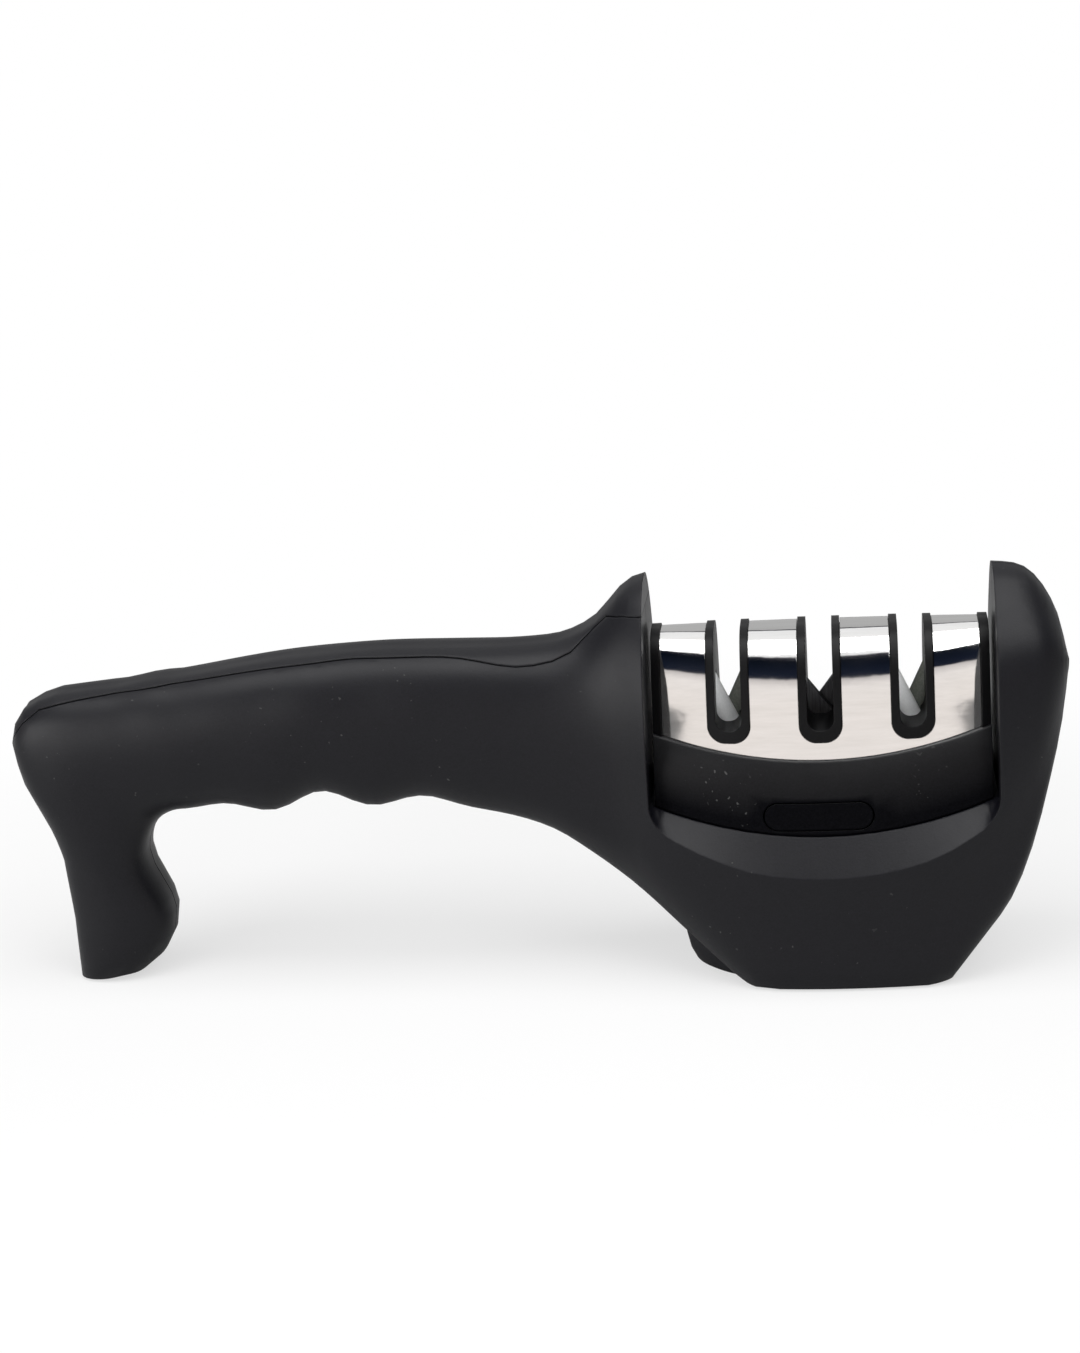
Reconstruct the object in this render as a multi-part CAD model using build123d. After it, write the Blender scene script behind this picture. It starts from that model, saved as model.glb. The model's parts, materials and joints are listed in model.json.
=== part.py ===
"""Pull through knife sharpener: moulded housing with grip, leg and pocket, and a three-slot cartridge.

Frame: +X from the grip towards the sharpening head, +Y away from the front, +Z up.
Origin: centre of the footprint on the surface that the sharpener stands on. Millimetres.
"""
import math
import os

from build123d import *

# Housing.
grip_length = 127.6          # rear end of the grip to the inner face of the fin
pocket_length = 66.0         # between fin and post
post_thickness = 13.7        # post, from the pocket to the outer end
post_corner = 6.0            # rounding of the post's outer end, seen from above
slant_run = 20.4             # run of the slanted outer face under the post
body_height = 78.9           # top of fin and post
grip_half_width = 12.6
head_half_width = 23.0
wall = 3.4                   # moulded wall of the hollow grip
hollow_end = 103.6           # the hollow stops here, from the rear end
crown_height = 66.9          # highest point of the grip's top line
grip_underside = 36.0        # height of the underside between the finger grooves
groove_depth = 1.9           # half the height of the finger grooves' wave
groove_pitch = 22.0
groove_run = 70.0            # the grooves fade out over this run
groove_centre = 62.0         # middle groove, from the rear end
heel_centre_x = 34.1         # centre of the arc between leg and underside, from the rear end
heel_centre_z = 25.7
heel_arc = 9.5               # radius of that arc
heel_reach = 36.8            # from the arc's centre up to the top line
leg_rear_top = 7.6           # rear edge of the leg at the arc's centre height, from the rear end
leg_rear_foot = 8.4          # rear edge of the leg at the foot
leg_inner_foot = 28.8        # widest point of the leg's inner edge
leg_toe = 13.0               # height of the rounded toe
leg_toe_in = 10.5            # how far the toe draws in at the ground
leg_half_width = 9.6
foot_gap = 0.5               # the rubber pads stand this far below the mouldings
plan_radius = 115.0          # bulge of the head's faces, seen from above

# Head: pocket, lip and well.
lip_height = 23.6            # lowest point of the pocket's front lip
lip_half_width = 22.6
lip_radius = 58.0            # arc of the lip, seen from the front
lip_corner = 3.6             # rounding of the lip's ends, seen from the front
well_length = 56.0
well_width = 23.0
well_floor = 14.0
well_corner = 3.0
seam_gap = 0.16              # open line under the top cover
fit_gap = 0.3                # between the cartridge and the housing
seat_gap = 0.1               # between pieces that are assembled tight
cut_over = 30.0              # overrun of cuts

# Foot of the bowl.
foot_half_length = 29.9
foot_half_width = 18.8
foot_centre = 162.2          # from the rear end
foot_height = 12.0
foot_toe = 9.0               # height of the foot's rounded lower edge
foot_toe_in = 3.0            # how far that edge draws in at the ground
rim = 4.6                    # rim left around the underside recess
plate_thickness = 2.0
pad_thickness = 1.6
foot_end_inset = 4.0         # recess to the corner under the slanted face
leg_pad_side = 8.4
leg_pad_corner = 2.4
screw_radius = 1.5
screw_head_radius = 2.9
screw_length = 9.0
screw_head_thickness = 1.2
driver_width = 0.7
driver_length = 3.4
driver_depth = 0.7
base_screw_x = 14.5          # from the foot's middle
base_screw_y = 7.0

# Cartridge.
slot_pitch = 17.4
slot_width = 5.0
slot_floor = 50.6
slot_corner = 2.2
liner = 1.5                  # wall of the black liners round the slots
liner_floor = 48.4
liner_corner = 3.2
tongue_half_width = 4.5      # rib of the top cover that drops between the shells
tongue_depth = 1.2
proud = 0.4                  # liners and end plates stand this far out of the steel
steel = 0.8                  # sheet thickness
steel_half_length = 30.3
steel_top = 68.2
steel_skirt_z = 42.0         # the core's section is drawn down to this height
steel_radius = 105.0         # arc of the steel's lower edge, seen from the front
steel_edge_z = 45.1          # lowest point of the steel's lower edge
cartridge_half_length = 32.0
band_half_width = 18.0       # skirt, at the middle
band_bottom = 31.3           # lowest point of the skirt
band_top = 38.8              # where the bevel starts, at the middle
bevel_half_width = 15.2      # skirt where the steel starts
band_bottom_radius = 100.0
band_top_radius = 98.0
plug_length = 55.4           # lower box of the skirt, a loose fit in the well
plug_width = 22.4
plug_wall = 2.0
core_bottom = 24.0
core_top = 44.0              # the core's foot reaches up to here
bottom_plate = 2.0
boss_radius = 3.0
cartridge_screw_x = 20.0
cartridge_screw_y = 4.5
small_screw_radius = 1.0
small_head_radius = 2.0
small_screw_length = 8.0
small_driver_length = 2.4

# Sharpening elements.
rod_radius = 2.5
rod_length = 17.0
rod_angle = 25.0             # from the vertical
rod_gap = 0.2                # between the two rods of a slot
apex_height = 54.3           # where the edges of rods or blades cross
blade_angle = 37.0
blade_width = 6.0
blade_length = 13.0
blade_thickness = 1.8
blade_gap = 0.2
holder_half_length = 7.2
holder_half_width = 4.4
holder_bottom = 37.0
holder_top = 49.6
blade_screw_x = 4.2
blade_screw_z = 40.0
rod_drop = 0.5               # the rod's middle is this far below the apex, along the rod
blade_drop = 2.5

# Release buttons.
button_half_length = 10.2
button_half_height = 2.6
button_z = 35.0
button_x = -0.9              # from the middle of the head
button_travel = 1.5
flange = 1.2                 # lip at the button's ends, inside the skirt
flange_face = 13.7           # inner face of the flange, from the middle plane
flange_thickness = 1.0
latch_half_length = 4.0
latch_face = 8.8             # inner face of the latch leg, from the middle plane
latch_thickness = 1.2
latch_web = 1.4
latch_bottom = 22.0
latch_tooth = 1.2
latch_tooth_height = 3.0
catch_depth = 1.4
spring_half_length = 7.5
spring_foot = 1.0
spring_bow = 2.4
spring_strip = 0.3
spring_height = 2.8
spring_z = 34.6
spring_steps = 10

overall_length = grip_length + pocket_length + post_thickness
head_x = grip_length + pocket_length / 2 - overall_length / 2
slot_places = [head_x + step * slot_pitch for step in (-1, 0, 1)]

# How many sections each stretch of the body is drawn with.
toe_steps = 4
leg_steps = 4
heel_steps = 20
heel_split = 10              # the body's two lofts meet at this section of the heel
RUN_STEPS = (28, 8, 14)      # grip, neck and pocket
post_steps = 10
toe_width_share = 0.2
seam_steps = 36              # points along the top cover's seam
foot_steps = 8               # points along a quarter of the foot's round end
POCKET_SHARES = (0.0, 0.15, 0.3, 0.45, 0.6, 0.74, 0.84, 0.9, 0.945, 0.975, 0.992, 1.0)  # of half the pocket

# Top line over the grip: shares of grip_length and of crown_height.
TOP_SHARES = ((0.462, 0.985), (0.613, 1.0), (0.775, 0.996), (0.83, 1.0))
# Rise of the fin: shares of grip_length, and of the way from the crown to the body's top.
FIN_SHARES = ((0.862, 0.04), (0.893, 0.15), (0.925, 0.36), (0.959, 0.77), (0.976, 0.91), (0.994, 1.0))
# Outer end of the post: shares of post_thickness and of body_height.
POST_TOP_SHARES = ((0.0, 1.0), (0.2, 0.997), (0.35, 0.992), (0.485, 0.98), (0.62, 0.957),
                   (0.76, 0.92), (0.9, 0.864), (1.0, 0.785))
# Slanted outer face: shares of the slant's run before the outer end, and of body_height.
SLANT_SHARES = ((-0.25, -0.035), (-0.11, 0.006), (0.02, 0.05), (0.17, 0.1), (0.32, 0.15),
                (0.46, 0.208), (0.64, 0.33), (0.79, 0.48), (0.92, 0.63), (1.0, 0.765))
# Seam under the top cover: shares of grip_length and of crown_height.
SEAM_SHARES = ((0.0, 0.755), (0.029, 0.822), (0.052, 0.856), (0.107, 0.88), (0.173, 0.898),
               (0.305, 0.932), (0.42, 0.961), (0.482, 0.972), (0.569, 0.983), (0.674, 0.982),
               (0.72, 0.976), (0.811, 0.951), (0.852, 0.959), (0.895, 0.992), (0.916, 1.032),
               (0.935, 1.068), (0.952, 1.089), (1.0, 1.094))
# Half section of the steel cover: shares of its half width and of its height, from the ridge down.
STEEL_SHARES = ((0.0, 1.0), (0.3, 0.992), (0.5, 0.945), (0.64, 0.853), (0.78, 0.64), (0.87, 0.375),
                (0.96, 0.113), (1.0, 0.0))
# Neck underside: shares of grip_length and of grip_underside.
NECK_SHARES = ((0.543, 1.011), (0.644, 0.999), (0.736, 0.93), (0.795, 0.878), (0.845, 0.808),
               (0.905, 0.66), (0.966, 0.48), (1.036, 0.253), (1.097, 0.07), (1.15, -0.06),
               (1.25, -0.07))
# Half widths along the grip: shares of grip_length and of grip_half_width.
WIDTH_SHARES = ((0.27, 0.95), (0.45, 1.0), (0.66, 0.97), (0.78, 1.0), (0.88, 1.08), (0.95, 1.2))
# Heel: angle about the arc's centre, and reach as a share of heel_reach.
HEEL_SHARES = ((90, 1.0), (104, 1.0), (118, 1.066), (127, 1.152), (136, 1.205), (143, 1.163),
               (149, 1.068), (154, 0.985), (158, 0.908), (162, 0.848), (166, 0.8), (170, 0.766),
               (175, 0.738))
# Sections of grip, neck and head: shares of the half width and of the half height, from top to bottom.
GRIP_SECTION_SHARES = ((0.0, 1.0), (0.36, 0.985), (0.66, 0.88), (0.9, 0.56), (1.0, 0.1),
                       (0.96, -0.36), (0.8, -0.74), (0.45, -0.955), (0.0, -1.0))
NECK_SECTION_SHARES = ((0.0, 1.0), (0.3, 0.97), (0.6, 0.83), (0.85, 0.57), (0.985, 0.25),
                       (0.98, -0.3), (0.88, -0.68), (0.56, -0.92), (0.0, -1.0))
HEAD_SECTION_SHARES = ((0.0, 1.0), (0.28, 0.968), (0.58, 0.81), (0.86, 0.57), (0.975, 0.34),
                       (0.985, -0.3), (0.9, -0.68), (0.83, -0.93), (0.0, -1.0))
# Stations of the steel cover's form: shares of its half length.
ARCH_SHARES = (-1.0, -0.5, 0.0, 0.5, 1.0)


def smooth(points, at):
    """Height of a gentle curve through the points, by cubic pieces with limited slopes."""
    if at <= points[0][0]:
        return points[0][1]
    if at >= points[-1][0]:
        return points[-1][1]
    index = max(i for i, point in enumerate(points) if point[0] <= at)
    slopes = [(b[1] - a[1]) / (b[0] - a[0]) for a, b in zip(points, points[1:])]

    def tangent(i):
        if i == 0 or i == len(points) - 1:
            return slopes[min(i, len(slopes) - 1)]
        before, after = slopes[i - 1], slopes[i]
        return 0.0 if before * after <= 0 else 2 * before * after / (before + after)

    (x0, y0), (x1, y1) = points[index], points[index + 1]
    run = x1 - x0
    t = (at - x0) / run
    rise = (2 * t**3 - 3 * t**2 + 1) * y0 + (3 * t**2 - 2 * t**3) * y1
    return rise + run * ((t**3 - 2 * t**2 + t) * tangent(index) + (t**3 - t**2) * tangent(index + 1))


def from_rear(distance):
    """X of a place that is given by its distance from the grip's rear end."""
    return distance - overall_length / 2


def plan_sag(x):
    """How far the head's faces fall back from their middle, at x from the head's centre."""
    return x**2 / (2 * plan_radius)


def top_line(distance):
    """Height of the top line at a distance from the rear end."""
    rise = body_height - crown_height
    points = [(heel_centre_x, heel_centre_z + heel_reach)]
    points += [(along * grip_length, share * crown_height) for along, share in TOP_SHARES]
    points += [(along * grip_length, crown_height + share * rise) for along, share in FIN_SHARES]
    post_start = grip_length + pocket_length
    points += [(post_start + along * post_thickness, share * body_height)
               for along, share in POST_TOP_SHARES]
    return smooth(points, distance)


def bottom_line(distance):
    """Height of the underside, with the finger grooves, the neck and the slanted outer face."""
    points = [(heel_centre_x, heel_centre_z + heel_arc)]
    points += [(along * grip_length, share * grip_underside) for along, share in NECK_SHARES]
    slant_start = overall_length - slant_run
    points += [(slant_start + along * slant_run, share * body_height) for along, share in SLANT_SHARES]
    base = smooth(points, distance)
    offset = distance - groove_centre
    if abs(offset) > groove_run / 2:
        return base
    fade = math.cos(math.pi * offset / groove_run) ** 2
    return base + groove_depth * fade * math.cos(2 * math.pi * offset / groove_pitch)


def half_width_line(distance):
    """Half width of the body, seen from above."""
    head_middle = grip_length + pocket_length / 2
    if distance < grip_length:
        points = [(along * grip_length, share * grip_half_width) for along, share in WIDTH_SHARES]
        points.append((grip_length, head_half_width - plan_sag(pocket_length / 2)))
        return smooth(points, distance)
    width = head_half_width - plan_sag(distance - head_middle)
    into_corner = (distance - (overall_length - post_corner)) / post_corner
    if into_corner > 0:
        width -= post_corner * (1 - math.sqrt(max(0.0, 1 - into_corner**2)))
    return width


def section(inner, outer, half_width, head_share, inset):
    """Closed section between the underside and the top line; head_share runs 0 grip, 1 neck, 2 head."""
    low = Vector(*inner)
    high = Vector(*outer)
    middle = (low + high) / 2
    half_height = (high - low).length / 2 - inset
    upward = (high - low).normalized()
    points = []
    near, far = GRIP_SECTION_SHARES, NECK_SECTION_SHARES
    if head_share > 1:
        near, far = NECK_SECTION_SHARES, HEAD_SECTION_SHARES
        head_share -= 1
    for start, end in zip(near, far):
        across = start[0] + head_share * (end[0] - start[0])
        along = start[1] + head_share * (end[1] - start[1])
        points.append((across * (half_width - inset), along * half_height))
    points += [(-across, along) for across, along in points[-2:0:-1]]
    places = [middle + upward * along + Vector(0, across, 0) for across, along in points]
    return Wire(Spline(*places, periodic=True).edges())


def leg_sections(inset, lowest):
    """Sections from the foot, round the toe and up the leg."""
    sections = []
    top_inner = heel_centre_x - heel_arc
    for step in range(toe_steps + 1):
        turn = math.pi / 2 * step / toe_steps
        height = lowest + (leg_toe - lowest) * (1 - math.cos(turn))
        drawn_in = leg_toe_in * (1 - math.sin(turn))
        width = leg_half_width - drawn_in * toe_width_share
        sections.append((height, leg_inner_foot - drawn_in, leg_rear_foot, width))
    for step in range(1, leg_steps):
        share = step / leg_steps
        height = leg_toe + share * (heel_centre_z - leg_toe)
        inner = leg_inner_foot + (3 * share**2 - 2 * share**3) * (top_inner - leg_inner_foot)
        rear = leg_rear_foot + share * (leg_rear_top - leg_rear_foot)
        sections.append((height, inner, rear, leg_half_width))
    return [section((from_rear(inner), 0, height), (from_rear(rear), 0, height), width, 0.0, inset)
            for height, inner, rear, width in sections]


def heel_sections(inset):
    """Sections that fan out round the arc between the leg and the underside."""
    sections = []
    centre = Vector(from_rear(heel_centre_x), 0, heel_centre_z)
    reaches = HEEL_SHARES + ((180, (heel_centre_x - leg_rear_top) / heel_reach),)
    for step in range(heel_steps + 1):
        angle = 180 - 90 * step / heel_steps
        turn = math.radians(angle)
        out = Vector(math.cos(turn), 0, math.sin(turn))
        width = leg_half_width + step / heel_steps * (half_width_line(heel_centre_x) - leg_half_width)
        inner = centre + out * heel_arc
        outer = centre + out * (smooth(reaches, angle) * heel_reach)
        sections.append(section(tuple(inner), tuple(outer), width, 0.0, inset))
    return sections


def run_distances():
    """Distances from the rear end at which the grip and the head are drawn."""
    post_start = grip_length + pocket_length
    stops = (heel_centre_x, NECK_SHARES[4][0] * grip_length, grip_length, post_start)
    distances = []
    for start, end, steps in zip(stops, stops[1:], RUN_STEPS):
        distances += [start + (end - start) * (step + 1) / steps for step in range(steps)]
    for step in range(post_steps):
        turn = math.pi / 2 * (step + 1) / post_steps
        distances.append(post_start + post_thickness * math.sin(turn))
    return distances


def run_sections(inset):
    """Upright sections along the grip and the head."""
    sections = []
    for distance in run_distances():
        x = from_rear(distance)
        reach = ((NECK_SHARES[2][0] * grip_length, 0.0), (grip_length, 1.0),
                 (grip_length + pocket_length / 3, 2.0))
        head_share = smooth(reach, distance)
        low = (x, 0, bottom_line(distance))
        high = (x, 0, top_line(distance))
        sections.append(section(low, high, half_width_line(distance), head_share, inset))
    return sections


def body_form(inset):
    """Outer form of the housing, or the same form drawn in by a wall."""
    leg = leg_sections(inset, foot_gap)
    heel = heel_sections(inset)
    run = run_sections(inset)
    rear = Solid.make_loft(leg + heel[:heel_split + 1], True)
    front = Solid.make_loft(heel[heel_split:] + run, True)
    return rear + front


def grip_hollow():
    """Hollow of the leg and grip."""
    leg = leg_sections(wall, foot_gap)[toe_steps + 1:]
    heel = heel_sections(wall)
    run = [section for distance, section in zip(run_distances(), run_sections(wall))
           if distance < hollow_end]
    rear = Solid.make_loft(leg + heel[:heel_split + 1], True)
    front = Solid.make_loft(heel[heel_split:] + run, True)
    return rear + front


def block(x_range, y_range, z_range):
    """Box between pairs of limits."""
    sizes = [end - start for start, end in (x_range, y_range, z_range)]
    middle = [(start + end) / 2 for start, end in (x_range, y_range, z_range)]
    return Pos(*middle) * Box(*sizes)


def raised(face, bottom, top):
    """Upright prism over a flat face."""
    return Pos(0, 0, bottom) * extrude(face, amount=top - bottom, dir=(0, 0, 1))


def turned(shape):
    """The same piece turned half round about the head's upright axis."""
    return Pos(head_x, 0, 0) * Rot(0, 0, 180) * Pos(-head_x, 0, 0) * shape


def arc_rise(x, radius):
    """How far an arc has risen from its lowest point."""
    return radius - math.sqrt(radius**2 - x**2)


def both_sides(points):
    """Outline from its points on one side, mirrored to the other side."""
    return points + [(-across, height) for across, height in reversed(points)]


def across_loft(shifts, outline):
    """Solid through upright outlines, one at each shift from the head's middle."""
    wires = []
    for shift in shifts:
        places = [(head_x + shift, across, height) for across, height in outline(shift)]
        wires.append(Wire(Polyline(*places, close=True).edges()))
    return Solid.make_loft(wires, True)


def mirrored_shifts(half_length):
    """Places along the head from one end to the other."""
    right = [share * half_length for share in POCKET_SHARES]
    return [-shift for shift in reversed(right[1:])] + right


def foot_face(inset, right):
    """Footprint with a half ellipse towards the grip and a square end."""
    centre = from_rear(foot_centre)
    along = foot_half_length - inset
    across = foot_half_width - inset
    half = []
    for step in range(foot_steps + 1):
        turn = math.pi / 2 * step / foot_steps
        half.append((centre - along * math.cos(turn), across * math.sin(turn)))
    bow = Spline(*([(x, -y) for x, y in reversed(half[1:])] + half))
    sides = Polyline(bow @ 1, (right, across), (right, -across), bow @ 0)
    return make_face(bow.edges() + sides.edges())


def foot_drum():
    """Foot under the bowl, with a rounded lower edge."""
    right = from_rear(foot_centre) + foot_height
    wires = []
    for step in range(toe_steps + 1):
        turn = math.pi / 2 * step / toe_steps
        height = foot_gap + foot_toe * (1 - math.cos(turn))
        face = foot_face(foot_toe_in * (1 - math.sin(turn)), right)
        wires.append((Pos(0, 0, height) * face).face().outer_wire())
    top = Pos(0, 0, foot_gap + foot_height) * foot_face(0, right)
    wires.append(top.face().outer_wire())
    return Solid.make_loft(wires, True)


def recess_right():
    """Right end of the recess under the foot."""
    return from_rear(overall_length - slant_run) - foot_end_inset


def pocket_outline(shift):
    """Section of the pocket: flat under the cartridge, ledge down to the lip, open above."""
    flat_height = band_bottom + arc_rise(shift, band_bottom_radius) - fit_gap
    flat_across = band_half_width - plan_sag(shift) + fit_gap
    into_corner = max(0.0, abs(shift) - pocket_length / 2 + lip_corner)
    lip = lip_height + arc_rise(shift, lip_radius) + arc_rise(into_corner, lip_corner)
    lip_across = lip_half_width - plan_sag(shift)
    slope = (lip - flat_height) / (lip_across - flat_across)
    far = lip_across + cut_over
    return both_sides([(flat_across, flat_height), (far, flat_height + slope * (far - flat_across)),
                       (far, body_height + cut_over)])


def pocket_and_well():
    """Space that the cartridge stands in, with the catches for its latches."""
    pocket = across_loft(mirrored_shifts(pocket_length / 2), pocket_outline)
    well = RectangleRounded(well_length, well_width, well_corner)
    space = pocket + Pos(head_x, 0, 0) * raised(well, well_floor, band_bottom + cut_over)
    reach = latch_half_length + 2 * fit_gap
    edge = well_width / 2
    catch = block((head_x + button_x - reach, head_x + button_x + reach),
                  (-edge - catch_depth, -edge + wall),
                  (latch_bottom - fit_gap, latch_bottom + latch_tooth_height + fit_gap))
    return space + catch + turned(catch)


def cover_zone(gap):
    """Everything that lies above the top cover's seam by a gap, up to the pocket."""
    start = -overall_length / 2 - cut_over
    seam = []
    for step in range(seam_steps + 1):
        share = step / seam_steps
        height = crown_height * smooth(SEAM_SHARES, share)
        seam.append((from_rear(share * grip_length), height + gap))
    top = body_height + cut_over
    outline = [(start, seam[0][1])] + seam + [(seam[-1][0], top), (start, top)]
    face = Plane.XZ * make_face(Polyline(*outline, close=True).edges())
    return extrude(face, amount=cut_over, both=True)


def tongue_zone(gap):
    """Rib zone of the top cover between the two shells."""
    seam = []
    for share in (along for along, height in SEAM_SHARES[3:10]):
        seam.append((from_rear(share * grip_length), crown_height * smooth(SEAM_SHARES, share)))
    lower = [(x, z - tongue_depth - gap) for x, z in seam]
    outline = lower + [(x, z + tongue_depth) for x, z in reversed(seam)]
    face = Plane.XZ * make_face(Polyline(*outline, close=True).edges())
    return extrude(face, amount=tongue_half_width + gap, both=True)


def screw(radius, head_radius, length, driver):
    """Pan head screw, pointing up, with the underside of its head at zero height."""
    shank = Pos(0, 0, length / 2) * Cylinder(radius, length)
    head = Pos(0, 0, -screw_head_thickness / 2) * Cylinder(head_radius, screw_head_thickness)
    floor = driver_depth - screw_head_thickness
    slots = [Rot(0, 0, turn) * block((-driver / 2, driver / 2), (-driver_width / 2, driver_width / 2),
                                     (-screw_head_thickness, floor)) for turn in (0, 90)]
    return shank + head - slots[0] - slots[1]


def base_screw_places():
    """Places of the base plate's screws, at the underside of their heads."""
    centre = from_rear(foot_centre)
    seat = pad_thickness + screw_head_thickness
    return [(centre + x, y, seat) for x in (-base_screw_x, base_screw_x)
            for y in (-base_screw_y, base_screw_y)]


def leg_pad_face(inset):
    """Rubber pad's outline under the leg."""
    middle = from_rear((leg_rear_foot + leg_inner_foot - leg_toe_in) / 2)
    side = leg_pad_side - 2 * inset
    return Pos(middle, 0) * RectangleRounded(side, side, leg_pad_corner - inset)


def housing():
    """Both shells and the top cover as one, with all cuts made."""
    below = block((-overall_length, overall_length), (-cut_over, cut_over), (-2 * cut_over, foot_gap))
    recess = raised(foot_face(rim, recess_right()), 0, pad_thickness + plate_thickness)
    cuts = [below, pocket_and_well(), recess, raised(leg_pad_face(0), 0, pad_thickness), grip_hollow()]
    for place in base_screw_places():
        cuts.append(Pos(*place) * raised(Circle(screw_radius), 0, screw_length + fit_gap))
    return body_form(0) + foot_drum() - cuts


def shells_and_cover():
    """Front shell, rear shell and top cover."""
    body = housing()
    zone = cover_zone(seam_gap)
    lower = body - cover_zone(0) - tongue_zone(seat_gap)
    front = lower & block((-overall_length, overall_length), (-2 * cut_over, 0),
                          (-cut_over, body_height + cut_over))
    rear = mirror(front, about=Plane.XZ)
    return front, rear, (body & zone) + (body & tongue_zone(0))


def base_plate():
    """Plate in the foot's recess, with counterbored screw holes."""
    plate = raised(foot_face(rim + seat_gap, recess_right() - seat_gap),
                   pad_thickness, pad_thickness + plate_thickness)
    for place in base_screw_places():
        plate -= Pos(*place) * raised(Circle(screw_radius + seat_gap), -cut_over, cut_over)
        plate -= Pos(*place) * raised(Circle(screw_head_radius + seat_gap), -cut_over, 0)
    return plate


def steel_outline(inset):
    """Section of the steel cover's form, drawn in by an inset."""
    height = steel_top - steel_skirt_z

    def at(shift):
        half_width = bevel_half_width - fit_gap - plan_sag(shift) - inset
        points = [(across * half_width, steel_skirt_z + along * (height - inset))
                  for across, along in STEEL_SHARES]
        return [(head_x + shift, across, z) for across, z in points]
    return at


def cover_form(inset, half_length):
    """Arched form of the steel cover, or the same form drawn in or out."""
    sections = []
    outline = steel_outline(inset)
    for share in ARCH_SHARES:
        right = outline(share * half_length)
        left = [(x, -across, z) for x, across, z in reversed(right[1:])]
        arch = Spline(*(left + right))
        sections.append(Wire([arch.edges()[0], Line(arch @ 1, arch @ 0).edges()[0]]))
    return Solid.make_loft(sections)


def slot_space(middle, width, floor, corner):
    """Upright slot with a rounded floor, right through from front to back."""
    height = body_height - floor
    face = Plane.XZ * Pos(middle, floor + height / 2) * RectangleRounded(width, height, corner)
    return extrude(face, amount=cut_over, both=True)


def below_arc(radius, lowest, gap):
    """Everything below an arc that rises from the head's middle to its ends."""
    half = cartridge_half_length + wall
    end = (head_x + half, lowest + arc_rise(half, radius) - gap)
    arc = ThreePointArc((head_x - half, end[1]), (head_x, lowest - gap), end)
    sides = Polyline(end, (end[0], 0), (head_x - half, 0), arc @ 0)
    face = Plane.XZ * make_face(arc.edges() + sides.edges())
    return extrude(face, amount=cut_over, both=True)


def steel_cover():
    """Bent sheet over the core, notched round the three slots."""
    cover = cover_form(0, steel_half_length - seat_gap) - cover_form(steel, steel_half_length + wall)
    for middle in slot_places:
        cover -= slot_space(middle, slot_width + 2 * (liner + seat_gap), liner_floor - seat_gap,
                            liner_corner + seat_gap)
    return cover - below_arc(steel_radius, steel_edge_z, 0)


def rod_place(middle):
    """Middle of a front rod whose upper edge passes through the apex."""
    lean = math.radians(rod_angle)
    x = middle - rod_radius * math.cos(lean)
    z = apex_height - rod_radius * math.sin(lean)
    return Pos(x, -rod_radius - rod_gap / 2, z) * Rot(0, -rod_angle, 0) * Pos(0, 0, -rod_drop)


def front_rod(middle):
    """Ceramic rod in the front half, leaning to the left."""
    return rod_place(middle) * Cylinder(rod_radius, rod_length)


def rod_groove(middle):
    """Groove for a rod, open to the middle plane."""
    radius = rod_radius + seat_gap
    length = rod_length + 2 * seat_gap
    bore = Cylinder(radius, length)
    way_in = block((-radius, radius), (0, radius + rod_gap), (-length / 2, length / 2))
    return rod_place(middle) * (bore + way_in)


def blade(gap):
    """Carbide blade in the front half of the middle slot, leaning to the left."""
    lean = math.radians(blade_angle)
    x = slot_places[1] - blade_width / 2 * math.cos(lean)
    z = apex_height - blade_width / 2 * math.sin(lean)
    place = Pos(x, -(blade_gap + blade_thickness) / 2, z) * Rot(0, -blade_angle, 0)
    sizes = (blade_width + 2 * gap, blade_thickness + 2 * gap, blade_length + 2 * gap)
    return place * Pos(0, 0, -blade_drop) * Box(*sizes)


def blade_screw_places():
    """Places of the blade holder's screws, pointing to the rear."""
    depth = holder_half_width + small_head_radius
    return [Pos(slot_places[1] + x, -depth, blade_screw_z) * Rot(-90, 0, 0)
            for x in (-blade_screw_x, blade_screw_x)]


def holder_form(gap):
    """Block that holds the blades."""
    return block((slot_places[1] - holder_half_length - gap, slot_places[1] + holder_half_length + gap),
                 (-holder_half_width - gap, holder_half_width + gap),
                 (holder_bottom - gap, holder_top + gap))


def blade_holder():
    """Holder with pockets for both blades and holes for its screws."""
    holder = holder_form(0) - blade(seat_gap) - turned(blade(seat_gap))
    for place in blade_screw_places():
        holder -= place * raised(Circle(small_screw_radius + seat_gap), -cut_over, cut_over)
    return holder


def latch_window():
    """Way for a front latch leg through the skirt and the core."""
    reach = latch_half_length + 2 * fit_gap
    middle = head_x + button_x
    inner = latch_face - button_travel - fit_gap
    return block((middle - reach, middle + reach), (-plug_width / 2 - seat_gap, -inner),
                 (latch_bottom - 2 * fit_gap, button_z - button_half_height + fit_gap))


def foot_limits():
    """Half length and half width of the core's foot inside the skirt."""
    return plug_length / 2 - plug_wall - seat_gap, plug_width / 2 - plug_wall - seat_gap


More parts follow.
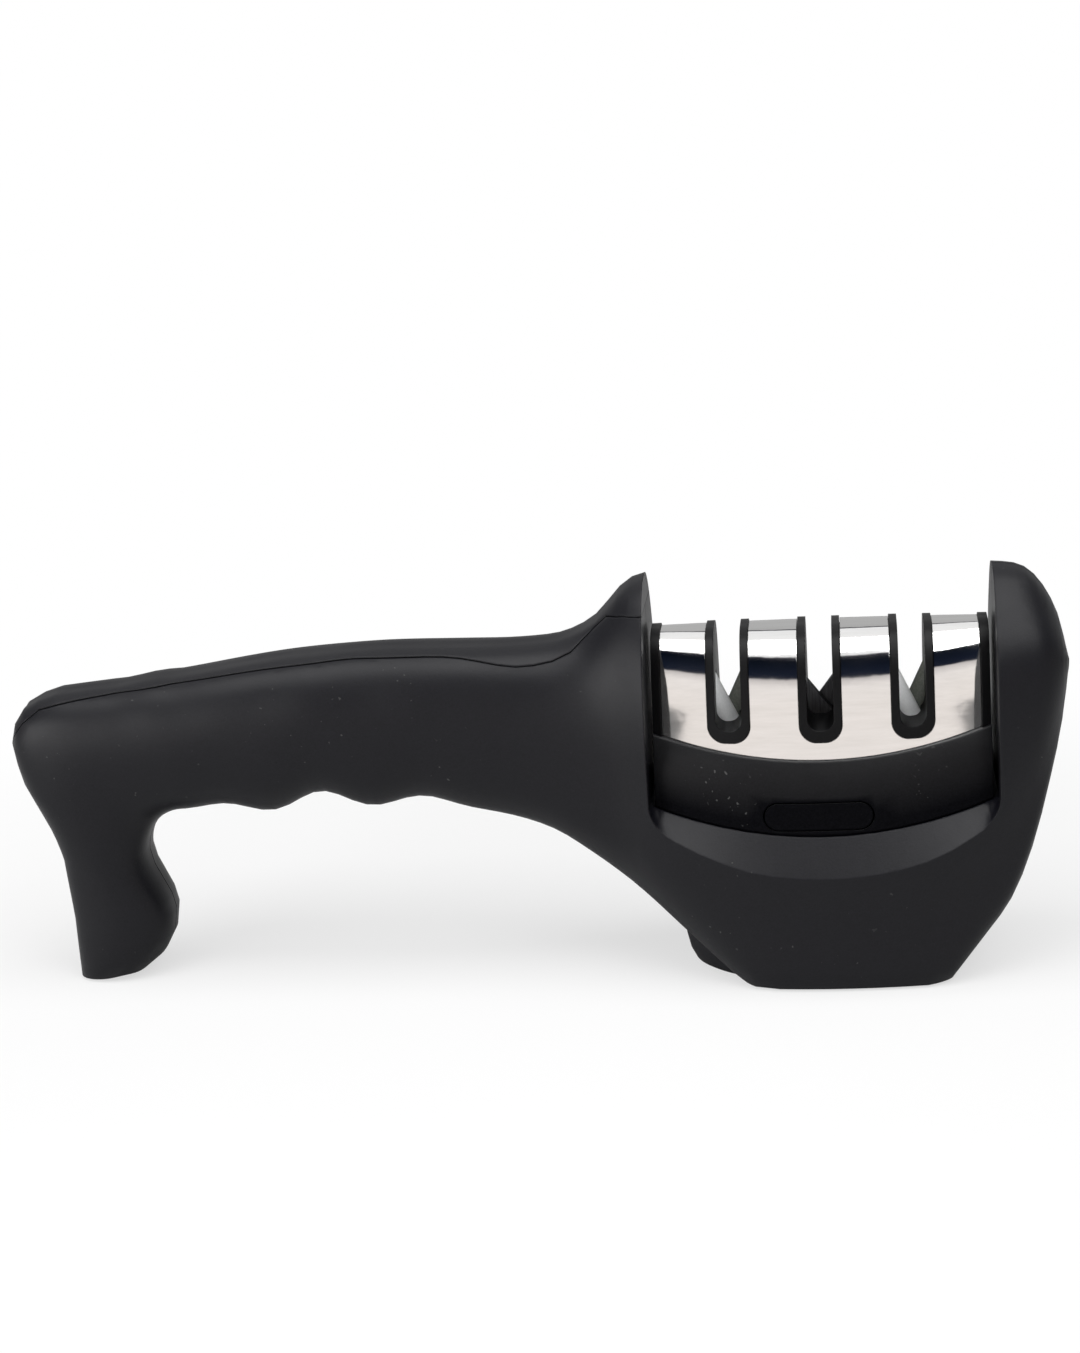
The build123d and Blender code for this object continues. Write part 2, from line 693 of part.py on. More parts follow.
def cartridge_front_half():
    """Front half of the black core: fingers, slot liners, end plates and foot."""
    core = cover_form(steel + seat_gap, steel_half_length)
    outer = cover_form(-proud, cartridge_half_length)
    ends = outer - block((head_x - steel_half_length, head_x + steel_half_length),
                         (-cut_over, cut_over), (0, 2 * body_height))
    core += ends - below_arc(band_top_radius, band_top + wall, 0)
    for middle in slot_places:
        core += outer & slot_space(middle, slot_width + 2 * liner, liner_floor, liner_corner)
    half_x, half_y = foot_limits()
    core += block((head_x - half_x, head_x + half_x), (-half_y, half_y), (core_bottom, core_top))
    for x in (-cartridge_screw_x, cartridge_screw_x):
        for y in (-cartridge_screw_y, cartridge_screw_y):
            place = Pos(head_x + x, y, well_floor + bottom_plate)
            core += place * raised(Circle(boss_radius), 0, core_top - core_bottom)
            core -= place * raised(Circle(small_screw_radius), -fit_gap, small_screw_length)
    for middle in slot_places:
        core -= slot_space(middle, slot_width, slot_floor, slot_corner)
    core &= block((head_x - cut_over - wall, head_x + cut_over + wall), (-cut_over, 0), (0, body_height))
    core -= rod_groove(slot_places[0])
    core -= rod_groove(slot_places[2])
    core -= holder_form(seat_gap)
    core -= blade(seat_gap)
    notch = block((head_x + button_x - latch_half_length - 2 * fit_gap,
                   head_x + button_x + latch_half_length + 2 * fit_gap),
                  (-cut_over, -latch_face + button_travel + fit_gap),
                  (0, button_z + button_half_height + 2 * fit_gap))
    return core - notch


def skirt_outline(shift):
    """Section of the skirt: upright band, then a bevel up to the steel."""
    low = band_bottom + arc_rise(shift, band_bottom_radius)
    bend = band_top + arc_rise(shift, band_top_radius)
    top = steel_edge_z + arc_rise(shift, steel_radius) - seat_gap
    outer = band_half_width - plan_sag(shift)
    inner = bevel_half_width - plan_sag(shift)
    return both_sides([(outer, low), (outer, bend), (inner, top)])


def skirt_form():
    """Outer form of the skirt without the plug."""
    return across_loft(mirrored_shifts(cartridge_half_length), skirt_outline)


def button_oval(gap):
    """Oval of a release button, or of the hole round it."""
    return Plane.XZ * Pos(head_x + button_x, button_z) * SlotOverall(
        2 * (button_half_length + gap), 2 * (button_half_height + gap))


def button_cuts():
    """Hole, flange cavity and latch window of the front button."""
    flange_half = button_half_length + flange + fit_gap
    hole = extrude(button_oval(fit_gap), amount=cut_over)
    half_y = foot_limits()[1]
    cavity = block((head_x + button_x - flange_half, head_x + button_x + flange_half),
                   (-flange_face - flange_thickness - seat_gap, -half_y),
                   (button_z - button_half_height - fit_gap, button_z + button_half_height + fit_gap))
    return hole + cavity + latch_window()


def cartridge_skirt():
    """Moulded skirt with the plug that stands in the well."""
    plug = raised(RectangleRounded(plug_length, plug_width, well_corner - fit_gap),
                  well_floor, band_bottom + plug_wall)
    skirt = skirt_form() + Pos(head_x, 0, 0) * plug
    inside = RectangleRounded(plug_length - 2 * plug_wall, plug_width - 2 * plug_wall, seat_gap)
    skirt -= Pos(head_x, 0, 0) * raised(inside, 0, body_height)
    upper = cover_form(steel, cartridge_half_length - liner) - block(
        (-overall_length, overall_length), (-cut_over, cut_over), (0, steel_skirt_z))
    skirt -= upper
    outer = cover_form(-proud - seat_gap, cartridge_half_length + wall) - below_arc(
        band_top_radius, band_top + wall, seat_gap)
    for end in (-1, 1):
        near = head_x + end * (steel_half_length - seat_gap)
        far = near + end * wall
        skirt -= outer & block((min(near, far), max(near, far)), (-cut_over, cut_over), (0, body_height))
    cuts = button_cuts()
    return skirt - cuts - turned(cuts)


def cartridge_bottom_plate():
    """Plate that closes the plug, with counterbored holes."""
    gap = 2 * seat_gap
    plate = Pos(head_x, 0, 0) * raised(
        Rectangle(plug_length - 2 * plug_wall - gap, plug_width - 2 * plug_wall - gap),
        well_floor, well_floor + bottom_plate)
    for place in cartridge_screw_places():
        plate -= place * raised(Circle(small_screw_radius + seat_gap), -cut_over, cut_over)
        plate -= place * raised(Circle(small_head_radius + seat_gap), -cut_over, 0)
    return plate


def cartridge_screw_places():
    """Places of the cartridge's screws, at the underside of their heads."""
    seat = well_floor + screw_head_thickness
    return [Pos(head_x + x, y, seat) for x in (-cartridge_screw_x, cartridge_screw_x)
            for y in (-cartridge_screw_y, cartridge_screw_y)]


def release_button():
    """Front button: oval pad, flange, web and latch leg in one moulding."""
    middle = head_x + button_x
    pad = extrude(button_oval(0), amount=cut_over) & skirt_form()
    pad -= block((-overall_length, overall_length), (-flange_face, cut_over), (0, body_height))
    flange_half = button_half_length + flange
    low = button_z - button_half_height
    pad += block((middle - flange_half, middle + flange_half),
                 (-flange_face - flange_thickness, -flange_face), (low, low + 2 * button_half_height))
    outer = latch_face + latch_thickness
    profile = [(-flange_face, low), (-flange_face, low + latch_web), (-latch_face, low + latch_web),
               (-latch_face, latch_bottom), (-outer, latch_bottom),
               (-outer - latch_tooth, latch_bottom + latch_tooth_height / 2),
               (-outer, latch_bottom + latch_tooth_height), (-outer, low)]
    face = make_face(Polyline(*[(middle, y, z) for y, z in profile], close=True).edges())
    return pad + extrude(face, amount=latch_half_length, dir=(1, 0, 0), both=True)


def button_spring():
    """Bowed leaf spring between the core and the front button, drawn as it is when pressed."""
    half_y = foot_limits()[1]
    arch = spring_half_length - spring_foot
    inner = [(-spring_half_length, half_y)]
    for step in range(spring_steps + 1):
        share = 2 * step / spring_steps - 1
        inner.append((share * arch, half_y + spring_bow * (1 - share**2)))
    inner.append((spring_half_length, half_y))
    outline = inner + [(x, y + spring_strip) for x, y in reversed(inner)]
    places = [(head_x + button_x + x, -y) for x, y in outline]
    return raised(make_face(Polyline(*places, close=True).edges()), spring_z, spring_z + spring_height)


def build():
    """All the nodes by name, each with its separate solids."""
    front_shell, rear_shell, handle_top_cover = shells_and_cover()
    base_screw = screw(screw_radius, screw_head_radius, screw_length, driver_length)
    small_screw = screw(small_screw_radius, small_head_radius, small_screw_length, small_driver_length)
    front_half = cartridge_front_half()
    rear_half = turned(front_half)
    for place in blade_screw_places():
        hole = place * raised(Circle(small_screw_radius + seat_gap), 0, small_screw_length + fit_gap)
        head_space = place * raised(Circle(small_head_radius + seat_gap), -cut_over, 0)
        front_half -= hole + head_space
        rear_half -= hole
    nodes = {
        "front_shell": [front_shell],
        "rear_shell": [rear_shell],
        "handle_top_cover": [handle_top_cover],
        "base_plate": [base_plate()],
        "base_plate_screws": [Pos(*place) * base_screw for place in base_screw_places()],
        "base_pad": [raised(foot_face(rim + seat_gap, recess_right() - seat_gap), 0, pad_thickness)],
        "leg_pad": [raised(leg_pad_face(seat_gap), 0, pad_thickness)],
        "cartridge_front_half": [front_half],
        "cartridge_rear_half": [rear_half],
        "steel_cover": [steel_cover()],
        "cartridge_skirt": [cartridge_skirt()],
        "cartridge_bottom_plate": [cartridge_bottom_plate()],
        "cartridge_screws": [place * small_screw for place in cartridge_screw_places()],
        "rod_1_front": [front_rod(slot_places[0])],
        "rod_1_rear": [turned(front_rod(slot_places[2]))],
        "rod_3_front": [front_rod(slot_places[2])],
        "rod_3_rear": [turned(front_rod(slot_places[0]))],
        "carbide_blade_left": [blade(0)],
        "carbide_blade_right": [turned(blade(0))],
        "blade_holder": [blade_holder()],
        "blade_screws": [place * small_screw for place in blade_screw_places()],
        "release_button_front": [release_button()],
        "release_button_rear": [turned(release_button())],
        "button_spring_front": [button_spring()],
        "button_spring_rear": [turned(button_spring())],
    }
    return nodes


def export(nodes):
    """Write every node as a STEP file of its solids."""
    os.makedirs("parts", exist_ok=True)
    for name, shapes in nodes.items():
        solids = [solid for shape in shapes for solid in shape.solids()]
        print(name, len(solids), [round(solid.volume, 1) for solid in solids])
        export_step(Compound(children=solids) if len(solids) > 1 else solids[0],
                    os.path.join("parts", name + ".step"))


export(build())
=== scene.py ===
import json
import math

import bmesh
import bpy
from mathutils import Matrix, Vector


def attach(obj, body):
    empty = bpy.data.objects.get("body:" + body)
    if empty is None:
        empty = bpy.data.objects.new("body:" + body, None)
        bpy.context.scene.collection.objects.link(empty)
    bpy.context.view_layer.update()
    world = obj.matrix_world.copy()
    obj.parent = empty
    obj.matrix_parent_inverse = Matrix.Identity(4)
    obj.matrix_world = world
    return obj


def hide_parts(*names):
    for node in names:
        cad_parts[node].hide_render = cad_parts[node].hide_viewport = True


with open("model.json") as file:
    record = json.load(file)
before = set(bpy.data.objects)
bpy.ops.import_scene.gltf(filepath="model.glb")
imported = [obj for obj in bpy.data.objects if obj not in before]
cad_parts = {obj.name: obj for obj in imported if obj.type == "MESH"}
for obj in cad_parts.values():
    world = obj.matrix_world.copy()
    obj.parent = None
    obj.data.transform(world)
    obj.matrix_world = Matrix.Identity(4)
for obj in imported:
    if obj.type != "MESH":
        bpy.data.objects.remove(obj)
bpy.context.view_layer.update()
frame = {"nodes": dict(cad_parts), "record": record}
scene = bpy.context.scene

# Camera, from the fit of the photo's edges: degrees, metres, and pixels of the photo.
ELEVATION = 16.0
YAW = 7.15
ROLL = 3.75
DISTANCE = 0.508
TARGET = (0.00235, 0.0, 0.0547)
FOCAL_PIXELS = 2595.0
PHOTO_HEIGHT = 1353.0
CENTRE_DROP = 22.5    # the picture's centre lies this much below the frame's
SENSOR_WIDTH = 36.0   # millimetres, as Blender gives it
CLIP_START = 0.01

# Floor: its colours, and the white veil that camera rays see, from the near distance to the far one.
FLOOR_SIZE = 6.0
FLOOR_DARK = (0.68, 0.68, 0.68)
FLOOR_LIGHT = (0.72, 0.72, 0.72)
FLOOR_NEAR = 0.10
FLOOR_FAR = 0.24
FLOOR_VEIL = 0.64

# Rounding of edges in the shading, in metres, and its samples.
EDGE = 0.0005
CORE_EDGE = 0.0003
METAL_EDGE = 0.0002
EDGE_SAMPLES = 4

# Sheen of the plastics. On the skirt and its buttons it grows from none to its full value while the upward
# part of the surface's normal goes from the first of the two slopes to the second, which paints shade on the
# upright walls.
PLASTIC_SHEEN = 0.215
CORE_SHEEN = 0.14
SKIRT_SHEEN = 0.22
WALL_SHADE_SLOPES = (0.05, 0.35)

# Painted shade: a dark line where the housing's halves meet, standing for the shade in the gap between them;
# its width, in metres.
SEAM_SHADE_WIDTH = 0.00022

# Specks of rubbed plastic: grain of the specks and of the patches that they gather in.
SPECK_GRAIN = 1100.0
SPECK_SPREAD = 0.03
PATCH_GRAIN = 45.0
PATCH_LIMITS = (0.5, 0.62)

# Skins: distance at which vertices are welded, and the angle in degrees from which an edge stays sharp.
WELD = 2e-6
SHARP = 32
SKIRT_SHARP = 28

# What shines back from the studio, in front and behind: sine of the height above the horizon, and colour.
ROOM_FRONT = ((0.0, (0.94, 0.88, 0.84)), (0.17, (0.93, 0.88, 0.85)), (0.265, (0.62, 0.58, 0.57)),
              (0.28, (0.010, 0.014, 0.028)), (0.60, (0.002, 0.004, 0.009)), (0.68, (0.02, 0.02, 0.03)),
              (0.70, (0.95, 0.95, 0.96)), (1.0, (1.0, 1.0, 1.0)))
ROOM_BACK = ((0.0, (0.50, 0.50, 0.50)), (0.49, (0.46, 0.46, 0.46)), (0.51, (0.03, 0.03, 0.04)),
             (0.56, (0.03, 0.03, 0.04)), (0.58, (0.95, 0.95, 0.96)), (1.0, (1.0, 1.0, 1.0)))
ROOM_FILL = 0.16


def new_material(name):
    """Empty node material and its Principled shader."""
    material = bpy.data.materials.new(name)
    material.use_nodes = True
    nodes = material.node_tree.nodes
    nodes.clear()
    output = nodes.new("ShaderNodeOutputMaterial")
    shader = nodes.new("ShaderNodeBsdfPrincipled")
    material.node_tree.links.new(shader.outputs[0], output.inputs["Surface"])
    return material, shader


def noise(material, scale, detail, roughness, stretch=(1, 1, 1)):
    """Noise in the object's own coordinates."""
    tree = material.node_tree
    place = tree.nodes.new("ShaderNodeTexCoord")
    mapping = tree.nodes.new("ShaderNodeMapping")
    mapping.inputs["Scale"].default_value = stretch
    texture = tree.nodes.new("ShaderNodeTexNoise")
    texture.inputs["Scale"].default_value = scale
    texture.inputs["Detail"].default_value = detail
    texture.inputs["Roughness"].default_value = roughness
    tree.links.new(place.outputs["Object"], mapping.inputs["Vector"])
    tree.links.new(mapping.outputs["Vector"], texture.inputs["Vector"])
    return texture.outputs["Fac"]


def ramp(material, fac, low, high, low_at=0.3, high_at=0.7):
    """Colour or grey ramp over a texture."""
    tree = material.node_tree
    node = tree.nodes.new("ShaderNodeValToRGB")
    node.color_ramp.elements[0].position = low_at
    node.color_ramp.elements[1].position = high_at
    node.color_ramp.elements[0].color = (*low, 1)
    node.color_ramp.elements[1].color = (*high, 1)
    tree.links.new(fac, node.inputs["Fac"])
    return node.outputs["Color"]


def bump(material, shader, fac, strength, distance, edge=0.0):
    """Fine relief from a texture, over edges that are rounded by the given radius."""
    tree = material.node_tree
    node = tree.nodes.new("ShaderNodeBump")
    node.inputs["Strength"].default_value = strength
    node.inputs["Distance"].default_value = distance
    tree.links.new(fac, node.inputs["Height"])
    if edge:
        rounding = tree.nodes.new("ShaderNodeBevel")
        rounding.samples = EDGE_SAMPLES
        rounding.inputs["Radius"].default_value = edge
        tree.links.new(rounding.outputs["Normal"], node.inputs["Normal"])
    tree.links.new(node.outputs["Normal"], shader.inputs["Normal"])


def plastic(name, dark, light, rough_low, rough_high, grain, depth, edge=EDGE, sheen=PLASTIC_SHEEN):
    """Moulded black plastic with fine spark-eroded grain and uneven sheen."""
    material, shader = new_material(name)
    tree = material.node_tree
    fine = noise(material, grain, 2.0, 0.6)
    broad = noise(material, 60.0, 3.0, 0.55)
    tree.links.new(ramp(material, fine, dark, light), shader.inputs["Base Color"])
    rough = ramp(material, broad, (rough_low,) * 3, (rough_high,) * 3)
    tree.links.new(rough, shader.inputs["Roughness"])
    shader.inputs["Specular IOR Level"].default_value = sheen
    bump(material, shader, fine, 0.35, depth, edge)
    return material


def shader_of(material):
    """The material's Principled shader."""
    return next(node for node in material.node_tree.nodes if node.type == "BSDF_PRINCIPLED")


def paint_wall_shade(material, shader):
    """Painted shade: sheen that grows from none on upright walls to its full value on slopes, so that the
    upright band shows dark and the bevel lighter.
    """
    tree = material.node_tree
    form = tree.nodes.new("ShaderNodeNewGeometry")
    split = tree.nodes.new("ShaderNodeSeparateXYZ")
    slope = tree.nodes.new("ShaderNodeMapRange")
    slope.inputs["From Min"].default_value = WALL_SHADE_SLOPES[0]
    slope.inputs["From Max"].default_value = WALL_SHADE_SLOPES[1]
    slope.inputs["To Max"].default_value = SKIRT_SHEEN
    tree.links.new(form.outputs["Normal"], split.inputs["Vector"])
    tree.links.new(split.outputs["Z"], slope.inputs["Value"])
    tree.links.new(slope.outputs["Result"], shader.inputs["Specular IOR Level"])


def scuffs(material, shader, colour, sparse):
    """Sparse pale specks where the moulding has been rubbed."""
    tree = material.node_tree
    base = shader.inputs["Base Color"].links[0].from_socket
    fine = noise(material, SPECK_GRAIN, 1.0, 0.5)
    broad = noise(material, PATCH_GRAIN, 2.0, 0.6)
    specks = ramp(material, fine, (0, 0, 0), (1, 1, 1), sparse, sparse + SPECK_SPREAD)
    patches = ramp(material, broad, (0, 0, 0), (1, 1, 1), *PATCH_LIMITS)
    both = tree.nodes.new("ShaderNodeMath")
    both.operation = "MULTIPLY"
    mix = tree.nodes.new("ShaderNodeMix")
    mix.data_type = "RGBA"
    mix.inputs["B"].default_value = (*colour, 1)
    tree.links.new(specks, both.inputs[0])
    tree.links.new(patches, both.inputs[1])
    tree.links.new(both.outputs[0], mix.inputs["Factor"])
    tree.links.new(base, mix.inputs["A"])
    tree.links.new(mix.outputs["Result"], shader.inputs["Base Color"])


def paint_seam_shade(material, shader):
    """Painted shade: a dark hairline without sheen where the two housing halves meet, on their shared plane,
    for the shade in the gap between them.
    """
    tree = material.node_tree
    place = tree.nodes.new("ShaderNodeTexCoord")
    split = tree.nodes.new("ShaderNodeSeparateXYZ")
    away = tree.nodes.new("ShaderNodeMath")
    away.operation = "ABSOLUTE"
    line = tree.nodes.new("ShaderNodeMapRange")
    line.inputs["From Min"].default_value = SEAM_SHADE_WIDTH / 2
    line.inputs["From Max"].default_value = SEAM_SHADE_WIDTH
    line.inputs["To Max"].default_value = PLASTIC_SHEEN
    tree.links.new(place.outputs["Object"], split.inputs["Vector"])
    tree.links.new(split.outputs["Y"], away.inputs[0])
    tree.links.new(away.outputs[0], line.inputs["Value"])
    tree.links.new(line.outputs["Result"], shader.inputs["Specular IOR Level"])


def metal(name, dark, light, rough_low, rough_high, grain, stretch, depth):
    """Sheet or turned metal with fine lines and uneven polish."""
    material, shader = new_material(name)
    tree = material.node_tree
    lines = noise(material, grain, 3.0, 0.6, stretch)
    broad = noise(material, 90.0, 2.0, 0.5)
    tree.links.new(ramp(material, lines, dark, light), shader.inputs["Base Color"])
    tree.links.new(ramp(material, broad, (rough_low,) * 3, (rough_high,) * 3), shader.inputs["Roughness"])
    shader.inputs["Metallic"].default_value = 1.0
    bump(material, shader, lines, 0.12, depth, METAL_EDGE)
    return material


def grit(name, dark, light, rough, grain, depth):
    """Ceramic, rubber or ground carbide: a matt body with visible grit."""
    material, shader = new_material(name)
    tree = material.node_tree
    fine = noise(material, grain, 4.0, 0.7)
    tree.links.new(ramp(material, fine, dark, light), shader.inputs["Base Color"])
    shader.inputs["Roughness"].default_value = rough
    bump(material, shader, fine, 0.4, depth)
    return material


MATERIALS = {
    "housing_plastic": plastic("housing_plastic", (0.0014, 0.0014, 0.0028), (0.0030, 0.0030, 0.0050),
                               0.40, 0.48, 2600.0, 0.00005),
    "cover_plastic": plastic("cover_plastic", (0.0016, 0.0016, 0.0030), (0.0032, 0.0032, 0.0052),
                             0.38, 0.46, 2600.0, 0.00004),
    "plate_plastic": plastic("plate_plastic", (0.014, 0.014, 0.015), (0.022, 0.022, 0.023),
                             0.45, 0.55, 2200.0, 0.00004),
    "core_plastic": plastic("core_plastic", (0.001, 0.001, 0.0012), (0.0025, 0.0025, 0.003),
                            0.36, 0.46, 3000.0, 0.00003, CORE_EDGE, CORE_SHEEN),
    "skirt_plastic": plastic("skirt_plastic", (0.0025, 0.0025, 0.003), (0.0045, 0.0045, 0.0055),
                             0.38, 0.48, 2800.0, 0.00004),
    "button_plastic": plastic("button_plastic", (0.0025, 0.0025, 0.003), (0.0045, 0.0045, 0.0055),
                              0.38, 0.48, 2800.0, 0.00003),
    "pad_rubber": grit("pad_rubber", (0.018, 0.018, 0.018), (0.032, 0.032, 0.031), 0.85, 1800.0, 0.00008),
    "steel_sheet": metal("steel_sheet", (0.80, 0.795, 0.785), (0.86, 0.855, 0.85),
                         0.045, 0.085, 900.0, (0.08, 1, 1), 0.00001),
    "screw_steel": metal("screw_steel", (0.42, 0.42, 0.43), (0.55, 0.55, 0.56),
                         0.28, 0.4, 1500.0, (1, 1, 0.2), 0.00001),
    "spring_steel": metal("spring_steel", (0.45, 0.45, 0.46), (0.58, 0.58, 0.58),
                          0.2, 0.3, 1500.0, (0.2, 1, 1), 0.00001),
    "white_ceramic": grit("white_ceramic", (0.78, 0.79, 0.79), (0.88, 0.89, 0.89), 0.5, 2500.0, 0.00003),
    # dark_ceramic is painted shade: the same ceramic as the white rods, darkened for the rods that stand
    # behind in shadow.
    "dark_ceramic": grit("dark_ceramic", (0.13, 0.14, 0.12), (0.24, 0.25, 0.22), 0.6, 2500.0, 0.00004),
    "carbide": metal("carbide", (0.05, 0.05, 0.055), (0.12, 0.12, 0.125),
                     0.35, 0.5, 2500.0, (1, 1, 0.1), 0.00001),
}


def skin(node, body, sharp_degrees):
    """Visual copy of a CAD node with smooth faces and sharp edges only where it bends by the given angle."""
    source = frame["nodes"][node]
    work = bmesh.new()
    work.from_mesh(source.data)
    bmesh.ops.remove_doubles(work, verts=work.verts, dist=WELD)
    limit = math.radians(sharp_degrees)
    for face in work.faces:
        face.smooth = True
    for edge in work.edges:
        if len(edge.link_faces) == 2:
            edge.smooth = edge.calc_face_angle(math.pi) < limit
    mesh = bpy.data.meshes.new(node + "_skin")
    work.to_mesh(mesh)
    work.free()
    if "custom_normal" in mesh.attributes:
        mesh.attributes.remove(mesh.attributes["custom_normal"])
    piece = bpy.data.objects.new(node + "_skin", mesh)
    scene.collection.objects.link(piece)
    mesh.materials.clear()
    mesh.materials.append(MATERIALS[SLOTS[node]])
    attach(piece, body)
    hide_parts(node)
    return piece


for name in ("skirt_plastic", "button_plastic"):
    # Painted shade: the skirt and its buttons lose their sheen on upright walls.
    paint_wall_shade(MATERIALS[name], shader_of(MATERIALS[name]))
    scuffs(MATERIALS[name], shader_of(MATERIALS[name]), (0.05, 0.05, 0.05), 0.70)
housing = MATERIALS["housing_plastic"]
scuffs(housing, shader_of(housing), (0.035, 0.035, 0.035), 0.75)
# Painted shade along the line where the housing's halves meet.
paint_seam_shade(housing, shader_of(housing))

SLOTS = {entry["node"]: entry["material_slot"] for entry in frame["record"]["subparts"]}
BODIES = frame["record"]["behaviour"]["bodies"]
for body, members in BODIES.items():
    for node in members:
        shown = frame["nodes"][node]
        shown.data.materials.clear()
        shown.data.materials.append(MATERIALS[SLOTS[node]])

SKINS = {
    "housing": (("front_shell", SHARP), ("rear_shell", SHARP), ("handle_top_cover", SHARP)),
    "cartridge": (("cartridge_front_half", SHARP), ("cartridge_rear_half", SHARP), ("steel_cover", SHARP),
                  ("cartridge_skirt", SKIRT_SHARP)),
}
for body, pieces in SKINS.items():
    for node, degrees in pieces:
        skin(node, body, degrees)


def fade_to_white(material, shader):
    """The floor turns to the white of the background at some distance from the object."""
    tree = material.node_tree
    place = tree.nodes.new("ShaderNodeTexCoord")
    length = tree.nodes.new("ShaderNodeVectorMath")
    length.operation = "LENGTH"
    reach = tree.nodes.new("ShaderNodeMapRange")
    reach.inputs["From Min"].default_value = FLOOR_NEAR
    reach.inputs["From Max"].default_value = FLOOR_FAR
    reach.inputs["To Min"].default_value = FLOOR_VEIL
    reach.interpolation_type = "SMOOTHSTEP"
    path = tree.nodes.new("ShaderNodeLightPath")
    both = tree.nodes.new("ShaderNodeMath")
    both.operation = "MULTIPLY"
    white = tree.nodes.new("ShaderNodeEmission")
    mix = tree.nodes.new("ShaderNodeMixShader")
    output = next(node for node in tree.nodes if node.type == "OUTPUT_MATERIAL")
    tree.links.new(place.outputs["Object"], length.inputs[0])
    tree.links.new(length.outputs["Value"], reach.inputs["Value"])
    tree.links.new(reach.outputs["Result"], both.inputs[0])
    tree.links.new(path.outputs["Is Camera Ray"], both.inputs[1])
    tree.links.new(both.outputs[0], mix.inputs["Fac"])
    tree.links.new(shader.outputs[0], mix.inputs[1])
    tree.links.new(white.outputs[0], mix.inputs[2])
    tree.links.new(mix.outputs[0], output.inputs["Surface"])


def stops(tree, fac, table):
    """Colour ramp from a table of positions and colours."""
    node = tree.nodes.new("ShaderNodeValToRGB")
    elements = node.color_ramp.elements
    while len(elements) < len(table):
        elements.new(0.5)
    for element, (position, colour) in zip(elements, table):
        element.position = position
        element.color = (*colour, 1)
    tree.links.new(fac, node.inputs["Fac"])
    return node.outputs["Color"]


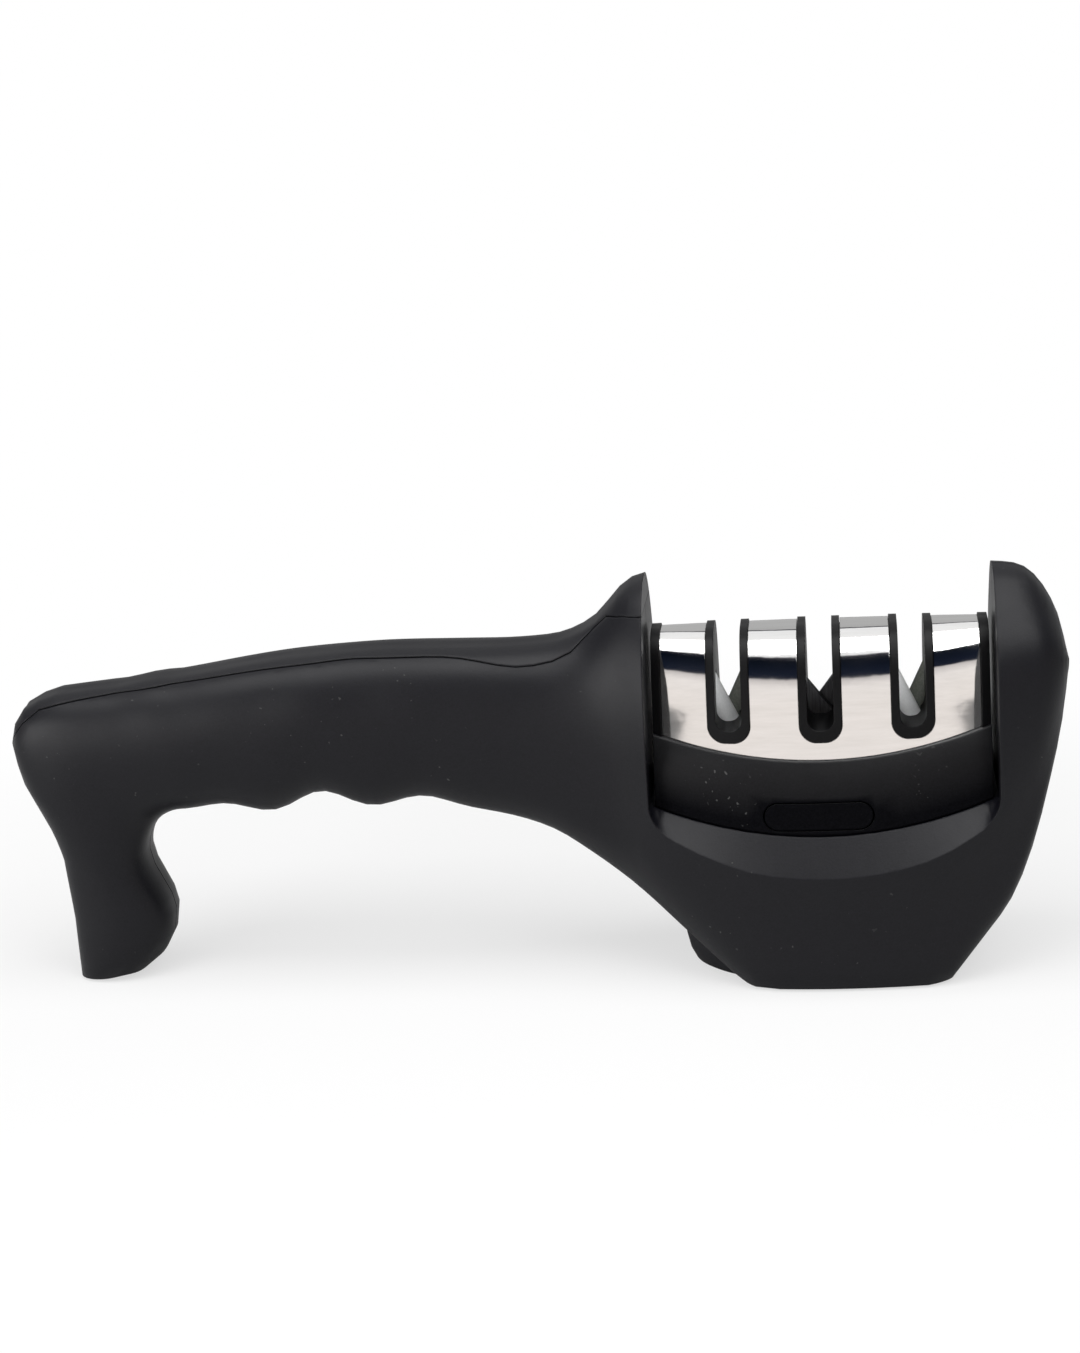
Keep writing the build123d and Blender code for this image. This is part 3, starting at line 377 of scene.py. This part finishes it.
def stage():
    """Plain pale floor, white behind, soft studio light."""
    bpy.ops.mesh.primitive_plane_add(size=FLOOR_SIZE, location=(0, 0, 0))
    floor = bpy.context.object
    floor.name = "floor"
    material, shader = new_material("floor")
    tree = material.node_tree
    broad = noise(material, 3.0, 2.0, 0.5)
    tree.links.new(ramp(material, broad, FLOOR_DARK, FLOOR_LIGHT), shader.inputs["Base Color"])
    shader.inputs["Roughness"].default_value = 0.9
    shader.inputs["Specular IOR Level"].default_value = 0.1
    fade_to_white(material, shader)
    floor.data.materials.append(material)

    world = bpy.data.worlds.new("studio")
    scene.world = world
    world.use_nodes = True
    tree = world.node_tree
    tree.nodes.clear()
    output = tree.nodes.new("ShaderNodeOutputWorld")
    behind = tree.nodes.new("ShaderNodeMixShader")
    mirrored = tree.nodes.new("ShaderNodeMixShader")
    path = tree.nodes.new("ShaderNodeLightPath")
    white = tree.nodes.new("ShaderNodeBackground")
    white.inputs["Color"].default_value = (1, 1, 1, 1)
    room = tree.nodes.new("ShaderNodeBackground")
    fill = tree.nodes.new("ShaderNodeBackground")
    fill.inputs["Color"].default_value = (ROOM_FILL, ROOM_FILL, ROOM_FILL, 1)
    place = tree.nodes.new("ShaderNodeTexCoord")
    split = tree.nodes.new("ShaderNodeSeparateXYZ")
    tree.links.new(place.outputs["Generated"], split.inputs["Vector"])
    rear = tree.nodes.new("ShaderNodeMath")
    rear.operation = "GREATER_THAN"
    rear.inputs[1].default_value = 0.0
    tree.links.new(split.outputs["Y"], rear.inputs[0])
    around = tree.nodes.new("ShaderNodeMix")
    around.data_type = "RGBA"
    tree.links.new(rear.outputs[0], around.inputs["Factor"])
    tree.links.new(stops(tree, split.outputs["Z"], ROOM_FRONT), around.inputs["A"])
    tree.links.new(stops(tree, split.outputs["Z"], ROOM_BACK), around.inputs["B"])
    tree.links.new(around.outputs["Result"], room.inputs["Color"])
    tree.links.new(path.outputs["Is Glossy Ray"], mirrored.inputs["Fac"])
    tree.links.new(fill.outputs[0], mirrored.inputs[1])
    tree.links.new(room.outputs[0], mirrored.inputs[2])
    tree.links.new(path.outputs["Is Camera Ray"], behind.inputs["Fac"])
    tree.links.new(mirrored.outputs[0], behind.inputs[1])
    tree.links.new(white.outputs[0], behind.inputs[2])
    tree.links.new(behind.outputs[0], output.inputs["Surface"])


def lamp(name, location, aim, size, watts):
    """Soft rectangular lamp aimed at a point, hidden from the camera."""
    data = bpy.data.lights.new(name, "AREA")
    data.shape = "RECTANGLE"
    data.size, data.size_y = size
    data.energy = watts
    lamp_object = bpy.data.objects.new(name, data)
    lamp_object.location = location
    lamp_object.rotation_euler = (Vector(aim) - Vector(location)).to_track_quat("-Z", "Y").to_euler()
    lamp_object.visible_camera = False
    scene.collection.objects.link(lamp_object)


def camera():
    """Camera that matches the photo's view."""
    rise = math.radians(ELEVATION)
    yaw = math.radians(YAW)
    roll = math.radians(ROLL)
    back = Vector((math.sin(yaw) * math.cos(rise), -math.cos(yaw) * math.cos(rise), math.sin(rise)))
    right = Vector((math.cos(yaw), math.sin(yaw), 0))
    up = back.cross(right)
    turned_right = math.cos(roll) * right - math.sin(roll) * up
    turned_up = math.sin(roll) * right + math.cos(roll) * up
    data = bpy.data.cameras.new("camera")
    data.sensor_width = SENSOR_WIDTH
    data.lens = FOCAL_PIXELS / PHOTO_HEIGHT * data.sensor_width
    data.shift_y = CENTRE_DROP / PHOTO_HEIGHT
    data.clip_start = CLIP_START
    seen_from = bpy.data.objects.new("camera", data)
    rows = Matrix((turned_right, turned_up, back)).transposed().to_4x4()
    seen_from.matrix_world = Matrix.Translation(Vector(TARGET) + back * DISTANCE) @ rows
    scene.collection.objects.link(seen_from)
    scene.camera = seen_from


stage()
# Lamps: place, point aimed at, width and length in metres, watts.
lamp("overhead", (0.03, -0.24, 0.88), (0.0, 0.0, 0.05), (1.15, 0.74), 10.6)
lamp("left_side", (-0.64, -0.54, 0.24), (-0.04, 0.0, 0.05), (0.62, 0.42), 4.6)
lamp("right_front", (0.32, -0.46, 0.56), (0.08, 0.0, 0.05), (0.30, 0.20), 1.1)
camera()
scene.view_settings.view_transform = "Standard"
